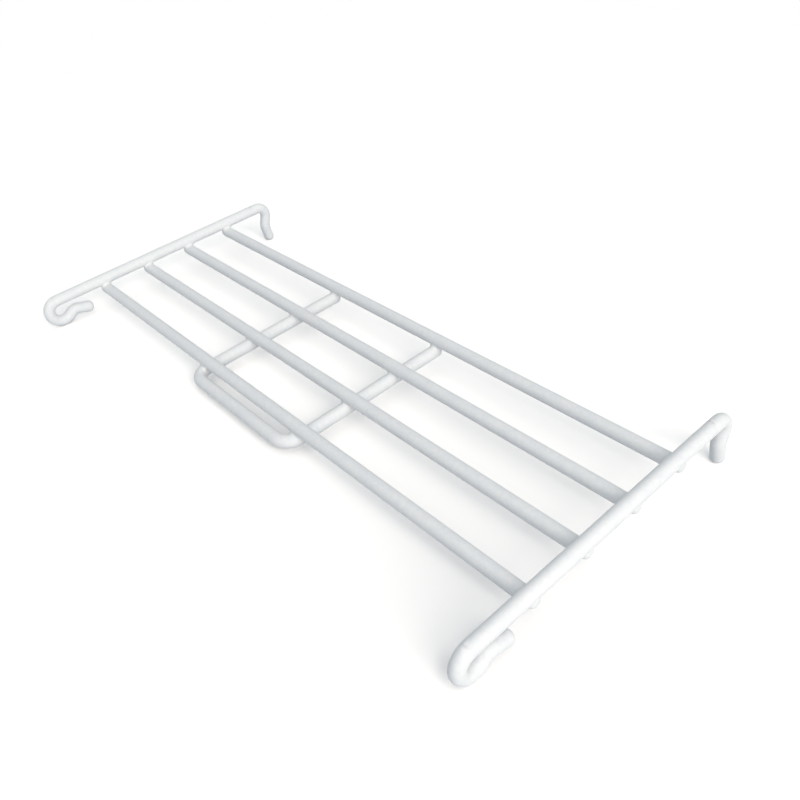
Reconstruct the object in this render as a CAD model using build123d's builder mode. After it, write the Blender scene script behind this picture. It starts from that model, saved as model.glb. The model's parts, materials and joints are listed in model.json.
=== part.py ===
from build123d import *
from math import cos, radians, sin
import os

os.makedirs("parts", exist_ok=True)

# Coated steel wire, the same for every piece
wire_diameter = 5.0
wire_end_round = 1.8
weld_set_down = 0.75
weld_fillet = 0.9
weld_overhang = 0.6
weld_seam = 0.02

# Long wires, side by side from front to rear
long_wire_count = 4
long_wire_pitch = 22.4

# End wires, across the top of the long wires
end_wire_spacing = 261.6
front_reach = 23.5
rear_reach = 19.5
kink_radius = 4.0

# Snap clip at the front of each end wire
clip_bend_radius = 5.0
clip_overbend = 34.0
clip_return_run = 1.7
clip_lip_turn = 50.0
clip_lip_run = 7.0

# Hook at the rear of each end wire
hook_bend_radius = 4.5
hook_lean = 18.0
hook_leg_run = 4.2
hook_toe_turn = 27.0
hook_toe_run = 7.0

# Centre loop, under the long wires and a little left of the middle
loop_leg_spacing = 64.0
loop_offset = -7.4
loop_front_reach = 6.4
loop_corner_radius = 6.6

# Depth of the whole insert, with its middle on the origin
wire_radius = wire_diameter / 2
long_wire_span = (long_wire_count - 1) * long_wire_pitch
clip_depth = front_reach + clip_bend_radius + wire_radius
hook_depth = rear_reach + hook_bend_radius + wire_radius
front_wire_y = clip_depth - (clip_depth + long_wire_span + hook_depth) / 2
rear_wire_y = front_wire_y + long_wire_span

# Drop from an end wire's axis to the lowest point of its rear toe, which stands on z = 0
toe_angle = radians(hook_toe_turn - hook_lean)
lean_angle = radians(hook_lean)
toe_end_drop = (
    hook_bend_radius * (1 + sin(lean_angle))
    + hook_leg_run * cos(lean_angle)
    + kink_radius * (sin(lean_angle) + sin(toe_angle))
    + hook_toe_run * cos(toe_angle)
)
toe_edge_drop = (wire_radius - wire_end_round) * sin(toe_angle) + wire_end_round * (1 - cos(toe_angle))

# Heights of the three layers of wire, pressed into each other at the welds
layer_step = wire_diameter - weld_set_down
end_wire_z = toe_end_drop + toe_edge_drop
long_wire_z = end_wire_z - layer_step
loop_z = long_wire_z - layer_step
weld_reach = wire_diameter

long_wire_ys = [front_wire_y + row * long_wire_pitch for row in range(long_wire_count)]
long_wire_end_x = end_wire_spacing / 2 + weld_overhang
end_wire_xs = {"left": -end_wire_spacing / 2, "right": end_wire_spacing / 2}

# End wires: clip, bar and hook bent from one wire
for side, end_wire_x in end_wire_xs.items():
    with BuildPart() as end_wire:
        with BuildLine(Plane.YZ.offset(end_wire_x)) as bends:
            bar = Line((front_wire_y - front_reach, end_wire_z), (rear_wire_y + rear_reach, end_wire_z))
            clip_bend = JernArc(bar @ 0, -(bar % 0), clip_bend_radius, 180 + clip_overbend)
            clip_return = PolarLine(clip_bend @ 1, clip_return_run, direction=clip_bend % 1)
            lip_bend = JernArc(clip_return @ 1, clip_return % 1, kink_radius, -clip_lip_turn)
            PolarLine(lip_bend @ 1, clip_lip_run, direction=lip_bend % 1)
            hook_bend = JernArc(bar @ 1, bar % 1, hook_bend_radius, -90 - hook_lean)
            hook_leg = PolarLine(hook_bend @ 1, hook_leg_run, direction=hook_bend % 1)
            toe_bend = JernArc(hook_leg @ 1, hook_leg % 1, kink_radius, hook_toe_turn)
            PolarLine(toe_bend @ 1, hook_toe_run, direction=toe_bend % 1)
        with BuildSketch(Plane(bends.wire() ^ 0)):
            Circle(wire_radius)
        sweep(path=bends.wire())
        fillet(end_wire.faces().filter_by(GeomType.PLANE).edges(), wire_end_round)
    end_wire.part.label = f"{side}_end_wire"
    export_step(end_wire.part, f"parts/{side}_end_wire.step")

# Long wires: straight, with a saddle under each end wire and the coating run into the corners
for row, wire_y in enumerate(long_wire_ys, start=1):
    with BuildPart() as long_wire:
        with BuildSketch(Plane.YZ.offset(-long_wire_end_x)):
            with Locations((wire_y, long_wire_z)):
                Circle(wire_radius)
        extrude(amount=2 * long_wire_end_x)
        fillet(long_wire.faces().filter_by(GeomType.PLANE).edges(), wire_end_round)
        with BuildSketch(Plane.XZ.offset(-wire_y)) as crossings:
            with Locations(*[(end_wire_x, end_wire_z) for end_wire_x in end_wire_xs.values()]):
                Circle(wire_radius)
        extrude(amount=weld_reach, both=True)
        fillet(long_wire.edges().filter_by(GeomType.BSPLINE), weld_fillet)
        with BuildSketch(Plane.XZ.offset(-wire_y)):
            with Locations(*[(end_wire_x, end_wire_z) for end_wire_x in end_wire_xs.values()]):
                Circle(wire_radius + weld_seam)
        extrude(amount=2 * weld_reach, both=True, mode=Mode.SUBTRACT)
    long_wire.part.label = f"long_wire_{row}"
    export_step(long_wire.part, f"parts/long_wire_{row}.step")

# Centre loop: one wire bent into a U, with a saddle under each long wire
loop_leg_xs = [loop_offset - loop_leg_spacing / 2, loop_offset + loop_leg_spacing / 2]
loop_leg_end_y = rear_wire_y + weld_overhang
loop_front_y = front_wire_y - loop_front_reach
with BuildPart() as centre_loop:
    with BuildLine(Plane.XY.offset(loop_z)) as loop_bends:
        FilletPolyline(
            (loop_leg_xs[0], loop_leg_end_y),
            (loop_leg_xs[0], loop_front_y),
            (loop_leg_xs[1], loop_front_y),
            (loop_leg_xs[1], loop_leg_end_y),
            radius=loop_corner_radius,
        )
    with BuildSketch(Plane(loop_bends.wire() ^ 0)):
        Circle(wire_radius)
    sweep(path=loop_bends.wire())
    fillet(centre_loop.faces().filter_by(GeomType.PLANE).edges(), wire_end_round)
    for leg_x in loop_leg_xs:
        with BuildSketch(Plane.YZ.offset(leg_x)) as crossings:
            with Locations(*[(wire_y, long_wire_z) for wire_y in long_wire_ys]):
                Circle(wire_radius)
        extrude(amount=weld_reach, both=True)
    fillet(centre_loop.edges().filter_by(GeomType.BSPLINE), weld_fillet)
    with BuildSketch(Plane.YZ.offset(loop_offset)):
        with Locations(*[(wire_y, long_wire_z) for wire_y in long_wire_ys]):
            Circle(wire_radius + weld_seam)
    extrude(amount=loop_leg_spacing, both=True, mode=Mode.SUBTRACT)
centre_loop.part.label = "centre_loop"
export_step(centre_loop.part, "parts/centre_loop.step")
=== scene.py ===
import json
from math import atan2, cos, pi, radians, sin

import bpy
from mathutils import Euler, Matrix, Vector

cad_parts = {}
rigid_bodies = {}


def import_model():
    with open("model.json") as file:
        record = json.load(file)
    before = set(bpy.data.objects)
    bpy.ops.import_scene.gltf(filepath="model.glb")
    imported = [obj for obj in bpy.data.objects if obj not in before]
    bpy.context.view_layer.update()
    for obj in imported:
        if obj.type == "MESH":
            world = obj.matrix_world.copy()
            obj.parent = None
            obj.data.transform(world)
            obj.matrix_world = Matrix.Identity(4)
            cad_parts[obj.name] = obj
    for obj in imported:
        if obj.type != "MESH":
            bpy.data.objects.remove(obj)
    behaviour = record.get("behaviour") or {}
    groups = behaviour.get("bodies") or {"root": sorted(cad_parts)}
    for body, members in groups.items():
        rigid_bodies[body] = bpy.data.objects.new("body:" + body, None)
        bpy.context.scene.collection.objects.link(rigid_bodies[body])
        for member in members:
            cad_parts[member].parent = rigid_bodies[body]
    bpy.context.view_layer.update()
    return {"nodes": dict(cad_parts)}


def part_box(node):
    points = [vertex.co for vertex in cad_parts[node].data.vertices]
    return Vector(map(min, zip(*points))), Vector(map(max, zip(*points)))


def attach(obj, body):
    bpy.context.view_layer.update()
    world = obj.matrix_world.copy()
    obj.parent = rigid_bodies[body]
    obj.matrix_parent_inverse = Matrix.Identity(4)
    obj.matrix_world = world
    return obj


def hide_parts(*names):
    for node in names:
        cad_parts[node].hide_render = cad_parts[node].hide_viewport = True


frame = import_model()
MM = 0.001

# End wire: the round bar between its two bends, taken from the frame
CLIP_BEND_RADIUS = 5.0 * MM
HOOK_BEND_RADIUS = 4.5 * MM
bar_low, bar_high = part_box("right_end_wire")
WIRE_RADIUS = (bar_high.x - bar_low.x) / 2
BAR_HEIGHT = bar_high.z - WIRE_RADIUS
BAR_FRONT = bar_low.y + WIRE_RADIUS + CLIP_BEND_RADIUS
BAR_REAR = bar_high.y - WIRE_RADIUS - HOOK_BEND_RADIUS
KINK_RADIUS = 4.0 * MM

# Snap clip at its front and hook at its rear: turns in degrees, runs in metres
CLIP_OVERBEND = 34.0
CLIP_RETURN_RUN = 1.7 * MM
CLIP_LIP_TURN = 50.0
CLIP_LIP_RUN = 7.0 * MM
HOOK_LEAN = 18.0
HOOK_LEG_RUN = 4.2 * MM
HOOK_TOE_TURN = 27.0
HOOK_TOE_RUN = 7.0 * MM

# Mesh of an end wire
WIRE_SIDES = 48
RING_STEP = 1.0 * MM
FINE_RING_STEP = 0.3 * MM
BEND_STEP_DEG = 6.0
END_ROUND = 1.8 * MM
END_ROUND_SEGMENTS = 7
END_RING_GAP = 0.3 * MM

# Beads of coating on the ends of the long wires, a little past the bar
LONG_WIRES = ("long_wire_1", "long_wire_2", "long_wire_3", "long_wire_4")
BEAD_REACH = 1.35 * MM
BEAD_LENGTH = 3.0 * MM
BEAD_THICKER = 0.02 * MM
BEAD_TAPER = 0.96

# Pinch marks that the bending tool left in the coating on top of the bar, by its two bends
MARK_REACH = 6.0 * MM
FRONT_MARK_INTO_BEND = 1.5 * MM
REAR_MARK_BEFORE_BEND = 3.4 * MM
MARK_YS = (BAR_FRONT - FRONT_MARK_INTO_BEND, BAR_REAR - REAR_MARK_BEFORE_BEND)
MARK_WIDTH = 0.8 * MM
MARK_SIDE_DEG = 68.0
MARK_SPREAD_DEG = 30.0
MARK_DEPTH = 0.25 * MM
MARK_SMOOTHING = 0.5

# White coating: thick and thin cover, mottling, satin gloss and orange peel
COAT_WHITE = (0.905, 0.892, 0.872, 1)
COAT_THIN_WHITE = (0.812, 0.824, 0.838, 1)
COAT_CONTRAST = 2.6
CLOUD_SCALE = 140.0
CLOUD_DETAIL = 2.0
CLOUD_SHARE = 0.35
MOTTLE_SCALE = 800.0
MOTTLE_DETAIL = 3.0
MOTTLE_SHARE = 0.65
PEEL_SCALE = 1500.0
PEEL_DETAIL = 2.0
PEEL_SHARE = 0.5
PEEL_STRENGTH = 0.30
PEEL_DEPTH = 0.05 * MM
NOISE_MIDDLE = 0.5
COAT_ROUGHNESS = 0.44
COAT_ROUGHNESS_SWING = 0.16
COAT_SPECULAR = 0.2

# Grey painted shade on top of the bars in the grooves of the pinch marks
GROOVE_PAINTED_SHADE = (0.58, 0.56, 0.53, 1)
GROOVE_SHADE_STRENGTH = 0.7
GROOVE_SHADE_WIDTH = 1.1 * MM
GROOVE_SHADE_DROP = 0.28 * WIRE_RADIUS

# Camera, found by fitting the wires' edges
CAMERA_PLACE = Vector((217.14, -127.52, 189.58)) * MM
CAMERA_TURN_DEG = (50.989, 6.978, 48.110)
CAMERA_LENS_MM = 35.59
SENSOR_MM = 36.0
CAMERA_NEAR = 10.0 * MM

# White floor: its colour where seen, painted shade round the lamp's spot, its bounce onto the
# wires
FLOOR_SIZE = 1.2
FLOOR_WHITE = (1.50, 1.44, 1.385, 1)
FLOOR_PAINTED_SHADE_BY_LAMP = (1.19, 1.15, 1.125, 1)
LAMP_SPOT = (0.105, -0.04, 0)
LAMP_SPOT_REACH = 0.125
FLOOR_BOUNCE = (0.52, 0.55, 0.59, 1)
FLOOR_FITS = 8

# Sky that is brighter overhead, a tall window on the right and a small lamp over the right end
HORIZON_COLOUR = (0.66, 0.84, 1.0, 1)
HORIZON_STRENGTH = 0.28
OVERHEAD_COLOUR = (0.93, 0.972, 1.0, 1)
OVERHEAD_STRENGTH = 0.73
BACKDROP_WHITE = (1, 1, 1, 1)
DAYLIGHT = (1.0, 0.965, 0.92)
WINDOW_PLACE = Vector((7.35, -1.56, 2.74))
WINDOW_WIDTH = 5.0
WINDOW_HEIGHT = 7.6
WINDOW_POWER = 485
LAMP_PLACE = Vector((0.25, -0.07, 0.21))
LAMP_SIZE = 0.06
LAMP_POWER = 0.086


class Signal:
    """A node's output in a material. Arithmetic on it adds Math nodes."""

    def __init__(self, tree, socket):
        self.tree = tree
        self.socket = socket

    def math(self, operation, first, second):
        return add_node(
            self.tree, "ShaderNodeMath", {"operation": operation}, **{"0": first, "1": second}
        )

    def __add__(self, other):
        return self.math("ADD", self, other)

    def __radd__(self, other):
        return self.math("ADD", other, self)

    def __sub__(self, other):
        return self.math("SUBTRACT", self, other)

    def __rsub__(self, other):
        return self.math("SUBTRACT", other, self)

    def __mul__(self, other):
        return self.math("MULTIPLY", self, other)

    def __rmul__(self, other):
        return self.math("MULTIPLY", other, self)

    def at_least(self, lowest):
        return self.math("MAXIMUM", self, lowest)


def add_node(tree, kind, settings=None, output=0, **sockets):
    """Adds one node: its settings first, then the values or links of its sockets."""
    node = tree.nodes.new(kind)
    for name, value in (settings or {}).items():
        setattr(node, name, value)
    for name, value in sockets.items():
        socket = node.inputs[int(name) if name.isdigit() else name.replace("_", " ")]
        if isinstance(value, Signal):
            tree.links.new(value.socket, socket)
        else:
            socket.default_value = value
    return Signal(tree, node.outputs[output])


def mix_colour(tree, share, first, second):
    return add_node(
        tree, "ShaderNodeMix", {"data_type": "RGBA"}, 2, **{"0": share, "6": first, "7": second}
    )


def mix_shader(tree, share, first, second):
    return add_node(tree, "ShaderNodeMixShader", **{"0": share, "1": first, "2": second})


def new_material(name):
    material = bpy.data.materials.new(name)
    material.use_nodes = True
    material.node_tree.nodes.clear()
    return material, material.node_tree


def finish_material(tree, shader):
    out = tree.nodes.new("ShaderNodeOutputMaterial")
    tree.links.new(shader.socket, out.inputs["Surface"])


def painted_groove_shade(tree, place):
    """1 on top of a bar in the grooves of the pinch marks, fading to 0 around: where the grey
    painted shade goes.
    """
    along, up = (
        add_node(tree, "ShaderNodeSeparateXYZ", output=axis, Vector=place) for axis in ("Y", "Z")
    )
    on_top = 1.0 - (BAR_HEIGHT + WIRE_RADIUS - up) * (1 / GROOVE_SHADE_DROP)
    groove_shade = 0.0
    for mark_y in MARK_YS:
        beside = (along - mark_y) * (2 / GROOVE_SHADE_WIDTH)
        groove_shade = groove_shade + (1.0 - beside * beside).at_least(0.0)
    return on_top.at_least(0.0) * groove_shade


def white_coating():
    """Dipped white plastic: faintly mottled, satin, with a fine orange peel, and grey painted
    shade in the grooves of the pinch marks.
    """
    material, tree = new_material("white_coating")
    place = add_node(tree, "ShaderNodeTexCoord", output="Object")
    clouds, mottle, peel = (
        add_node(tree, "ShaderNodeTexNoise", Vector=place, Scale=scale, Detail=detail)
        for scale, detail in (
            (CLOUD_SCALE, CLOUD_DETAIL), (MOTTLE_SCALE, MOTTLE_DETAIL), (PEEL_SCALE, PEEL_DETAIL)
        )
    )
    uneven = CLOUD_SHARE * clouds + MOTTLE_SHARE * mottle - NOISE_MIDDLE
    cover = NOISE_MIDDLE + COAT_CONTRAST * uneven
    clean = mix_colour(tree, cover, COAT_THIN_WHITE, COAT_WHITE)
    # Painted shade: the coating turns grey in the pinch marks' grooves on top of the bars
    colour = mix_colour(tree, GROOVE_SHADE_STRENGTH * painted_groove_shade(tree, place), clean, GROOVE_PAINTED_SHADE)
    roughness = COAT_ROUGHNESS + COAT_ROUGHNESS_SWING * (mottle - NOISE_MIDDLE)
    relief = (1 - PEEL_SHARE) * mottle + PEEL_SHARE * peel
    bump = add_node(
        tree, "ShaderNodeBump", Strength=PEEL_STRENGTH, Distance=PEEL_DEPTH, Height=relief
    )
    shader = add_node(
        tree, "ShaderNodeBsdfPrincipled",
        Base_Color=colour, Roughness=roughness, Specular_IOR_Level=COAT_SPECULAR, Normal=bump,
    )
    finish_material(tree, shader)
    return material


def seen_rays(tree):
    """1 for the rays that show the backdrop, straight or in a reflection."""
    straight, mirrored, through = (
        add_node(tree, "ShaderNodeLightPath", output=ray)
        for ray in ("Is Camera Ray", "Is Glossy Ray", "Is Transmission Ray")
    )
    return straight + mirrored + through


def floor_material():
    """White where it is seen, with painted shade round the lamp's spot, and a duller bounce of
    light onto the wires.
    """
    material, tree = new_material("studio_floor")
    place = add_node(tree, "ShaderNodeTexCoord", output="Object")
    from_lamp = add_node(
        tree, "ShaderNodeVectorMath", {"operation": "DISTANCE"}, "Value",
        **{"0": place, "1": LAMP_SPOT},
    )
    bounce, painted_shade_by_lamp, open_floor = (
        add_node(tree, "ShaderNodeBsdfDiffuse", Color=colour)
        for colour in (FLOOR_BOUNCE, FLOOR_PAINTED_SHADE_BY_LAMP, FLOOR_WHITE)
    )
    # Painted shade: the seen floor is duller near the lamp's spot, so the shadows there come out
    # deeper
    white = mix_shader(tree, from_lamp * (1 / LAMP_SPOT_REACH), painted_shade_by_lamp, open_floor)
    finish_material(tree, mix_shader(tree, seen_rays(tree), bounce, white))
    return material


def deselect_all():
    bpy.ops.object.select_all(action="DESELECT")


def pick(piece, chosen):
    """In edit mode, selects the faces of a piece for which chosen(face) holds."""
    bpy.ops.mesh.select_all(action="DESELECT")
    bpy.ops.object.mode_set(mode="OBJECT")
    for face in piece.data.polygons:
        face.select = chosen(face)
    bpy.ops.object.mode_set(mode="EDIT")


def heading(turn):
    return Vector((0, cos(radians(turn)), sin(radians(turn))))


def draw_straight(place, turn, length, step):
    """Draws the selected end face straight out, in rings about a step apart."""
    rings = max(1, round(length / step))
    for _ in range(rings):
        bpy.ops.mesh.extrude_region_move(
            TRANSFORM_OT_translate={"value": heading(turn) * (length / rings)}
        )
    return place + heading(turn) * length


def draw_bend(place, turn, radius, angle):
    """Draws the selected end face round a bend, and gives its new place and heading."""
    side = 1 if angle > 0 else -1
    centre = place + heading(turn + 90) * radius * side
    bpy.ops.mesh.spin(
        steps=round(abs(angle) / BEND_STEP_DEG), angle=-radians(angle),
        center=centre, axis=(1, 0, 0),
    )
    turn += angle
    return centre - heading(turn + 90) * radius * side, turn


def draw_tip(place, turn, length):
    """Draws the last run of a wire, with a longer ring left for the rounded end."""
    last = END_ROUND + END_RING_GAP
    place = draw_straight(place, turn, length - last, RING_STEP)
    draw_straight(place, turn, last, last)


def round_end():
    """Rounds the edges of the selected end faces."""
    bpy.ops.mesh.bevel(offset=END_ROUND, segments=END_ROUND_SEGMENTS, affect="EDGES")


def press_mark(wire, mark_y):
    """Presses a short groove across the top of the bar."""
    def in_mark(face):
        side = atan2(face.center.z - BAR_HEIGHT, face.center.x)
        beside = abs(side - radians(MARK_SIDE_DEG)) < radians(MARK_SPREAD_DEG)
        return beside and abs(face.center.y - mark_y) < MARK_WIDTH / 2

    pick(wire, in_mark)
    bpy.ops.transform.shrink_fatten(value=-MARK_DEPTH)
    bpy.ops.mesh.select_more()
    bpy.ops.mesh.vertices_smooth(factor=MARK_SMOOTHING, repeat=1)


def bent_wire():
    """Snap clip, bar and hook at x = 0, drawn both ways out of a disc at the front of the bar."""
    start = Vector((0, BAR_FRONT, BAR_HEIGHT))
    deselect_all()
    bpy.ops.mesh.primitive_circle_add(
        vertices=WIRE_SIDES, radius=WIRE_RADIUS, fill_type="NGON",
        location=start, rotation=(pi / 2, 0, 0),
    )
    wire = bpy.context.object
    bpy.ops.object.transform_apply(location=True, rotation=True, scale=True)
    bpy.ops.object.mode_set(mode="EDIT")
    bpy.ops.mesh.select_mode(type="FACE")
    bpy.ops.mesh.select_all(action="SELECT")

    # Bar and hook, with finer rings at both ends of the bar
    place = draw_straight(start, 0, MARK_REACH, FINE_RING_STEP)
    place = draw_straight(place, 0, BAR_REAR - BAR_FRONT - 2 * MARK_REACH, RING_STEP)
    place = draw_straight(place, 0, MARK_REACH, FINE_RING_STEP)
    place, turn = draw_bend(place, 0, HOOK_BEND_RADIUS, -90 - HOOK_LEAN)
    place = draw_straight(place, turn, HOOK_LEG_RUN, RING_STEP)
    place, turn = draw_bend(place, turn, KINK_RADIUS, HOOK_TOE_TURN)
    draw_tip(place, turn, HOOK_TOE_RUN)

    # Snap clip, from the disc that the bar started with
    pick(wire, lambda face: (face.center - start).length < FINE_RING_STEP / 4)
    place, turn = draw_bend(start, 180, CLIP_BEND_RADIUS, 180 + CLIP_OVERBEND)
    place = draw_straight(place, turn, CLIP_RETURN_RUN, RING_STEP)
    place, turn = draw_bend(place, turn, KINK_RADIUS, -CLIP_LIP_TURN)
    draw_tip(place, turn, CLIP_LIP_RUN)

    pick(wire, lambda face: len(face.vertices) == WIRE_SIDES)
    round_end()
    bpy.ops.mesh.select_all(action="SELECT")
    bpy.ops.mesh.normals_make_consistent(inside=False)
    for mark_y in MARK_YS:
        press_mark(wire, mark_y)
    bpy.ops.object.mode_set(mode="OBJECT")
    return wire


def coating_bead():
    """The rounded bead on the right end of a long wire. Its inner end sinks into the wire."""
    inner = Vector((-BEAD_LENGTH, 0, 0))
    deselect_all()
    bpy.ops.mesh.primitive_cylinder_add(
        vertices=WIRE_SIDES, radius=WIRE_RADIUS + BEAD_THICKER, depth=BEAD_LENGTH,
        location=inner / 2, rotation=(0, pi / 2, 0),
    )
    bead = bpy.context.object
    bpy.ops.object.transform_apply(location=True, rotation=True, scale=True)
    bpy.ops.object.mode_set(mode="EDIT")
    bpy.ops.mesh.select_mode(type="FACE")
    pick(bead, lambda face: (face.center - inner).length < BEAD_THICKER)
    bpy.ops.transform.resize(value=(1, BEAD_TAPER, BEAD_TAPER), center_override=inner)
    pick(bead, lambda face: face.center.length < BEAD_THICKER)
    round_end()
    bpy.ops.object.mode_set(mode="OBJECT")
    return bead


def copy_to(place, pattern, turn=0.0):
    """A copy of a pattern with its own mesh, turned about the upright and moved to its place."""
    deselect_all()
    pattern.select_set(True)
    bpy.context.view_layer.objects.active = pattern
    bpy.ops.object.duplicate()
    copy = bpy.context.object
    copy.location = place
    copy.rotation_euler = (0, 0, turn)
    bpy.ops.object.transform_apply(location=True, rotation=True, scale=True)
    return copy


def end_wire(side, wire_pattern, bead_pattern, coating):
    """One end wire in its place, with the beads of the four long wires under it."""
    node = f"{side}_end_wire"
    wire_low, wire_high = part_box(node)
    bar_x = (wire_low.x + wire_high.x) / 2
    outward, turn = (1, 0.0) if bar_x > 0 else (-1, pi)
    beads = []
    for long_wire in LONG_WIRES:
        low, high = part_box(long_wire)
        end = (bar_x + outward * BEAD_REACH, (low.y + high.y) / 2, low.z + WIRE_RADIUS)
        beads.append(copy_to(end, bead_pattern, turn))

    wire = copy_to((bar_x, 0, 0), wire_pattern)
    wire.name = f"{side}_end_wire_coated"
    for bead in beads:
        bead.select_set(True)
    bpy.ops.object.join()
    bpy.ops.object.shade_smooth()

    wire.data.materials.append(coating)
    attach(wire, "root")
    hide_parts(node)


def put_away(patterns):
    """Removes the pieces that the copies were made from."""
    deselect_all()
    for pattern in patterns:
        pattern.select_set(True)
    bpy.ops.object.delete()


def lowest_over(slope, points):
    """The point that stands lowest over a floor of this slope. Points are (y, z)."""
    return min(points, key=lambda point: point[1] * cos(slope) - point[0] * sin(slope))


def floor_line():
    """Front and rear points that the end wires stand on, and the slope between them."""
    points = [vertex.co.yz for vertex in frame["nodes"]["right_end_wire"].data.vertices]
    clip_points = [point for point in points if point[0] < 0]
    hook_points = [point for point in points if point[0] > 0]
    slope = 0.0
    for _ in range(FLOOR_FITS):
        front = lowest_over(slope, clip_points)
        rear = lowest_over(slope, hook_points)
        slope = atan2(rear[1] - front[1], rear[0] - front[0])
    return front, rear, slope


def lay_floor():
    front, rear, slope = floor_line()
    deselect_all()
    bpy.ops.mesh.primitive_plane_add(size=FLOOR_SIZE)
    floor = bpy.context.object
    floor.name = "floor"
    floor.rotation_euler = (slope, 0, 0)
    floor.location = (0, (front[0] + rear[0]) / 2, (front[1] + rear[1]) / 2)
    floor.data.materials.append(floor_material())


def hang_light(name, place, width, height, power):
    """A flat light that shines at the middle of the insert."""
    light = bpy.data.lights.new(name, "AREA")
    light.shape = "RECTANGLE"
    light.size = width
    light.size_y = height
    light.energy = power
    light.color = DAYLIGHT
    holder = bpy.data.objects.new(name, light)
    holder.location = place
    holder.rotation_euler = place.to_track_quat("Z", "Y").to_euler()
    holder.visible_camera = False
    bpy.context.scene.collection.objects.link(holder)


def light_studio():
    """The sky, which is plain white where it is seen, and the two lights."""
    world = bpy.data.worlds.new("studio")
    bpy.context.scene.world = world
    world.use_nodes = True
    tree = world.node_tree
    tree.nodes.clear()
    toward = add_node(tree, "ShaderNodeTexCoord", output="Generated")
    height = add_node(tree, "ShaderNodeSeparateXYZ", output="Z", Vector=toward)
    horizon, overhead, backdrop = (
        add_node(tree, "ShaderNodeBackground", Color=colour, Strength=strength)
        for colour, strength in (
            (HORIZON_COLOUR, HORIZON_STRENGTH),
            (OVERHEAD_COLOUR, OVERHEAD_STRENGTH),
            (BACKDROP_WHITE, 1.0),
        )
    )
    sky = mix_shader(tree, height, horizon, overhead)
    surroundings = mix_shader(tree, seen_rays(tree), sky, backdrop)
    out = tree.nodes.new("ShaderNodeOutputWorld")
    tree.links.new(surroundings.socket, out.inputs["Surface"])

    hang_light("window", WINDOW_PLACE, WINDOW_WIDTH, WINDOW_HEIGHT, WINDOW_POWER)
    hang_light("lamp", LAMP_PLACE, LAMP_SIZE, LAMP_SIZE, LAMP_POWER)


def place_camera():
    lens = bpy.data.cameras.new("camera")
    lens.lens = CAMERA_LENS_MM
    lens.sensor_width = SENSOR_MM
    lens.clip_start = CAMERA_NEAR
    camera = bpy.data.objects.new("camera", lens)
    camera.location = CAMERA_PLACE
    camera.rotation_euler = Euler([radians(turn) for turn in CAMERA_TURN_DEG], "XYZ")
    bpy.context.scene.collection.objects.link(camera)
    bpy.context.scene.camera = camera


bpy.context.scene.view_settings.view_transform = "Standard"
coating = white_coating()
for node in frame["nodes"].values():
    node.data.materials.clear()
    node.data.materials.append(coating)
wire_pattern = bent_wire()
bead_pattern = coating_bead()
for side in ("left", "right"):
    end_wire(side, wire_pattern, bead_pattern, coating)
put_away([wire_pattern, bead_pattern])
lay_floor()
light_studio()
place_camera()
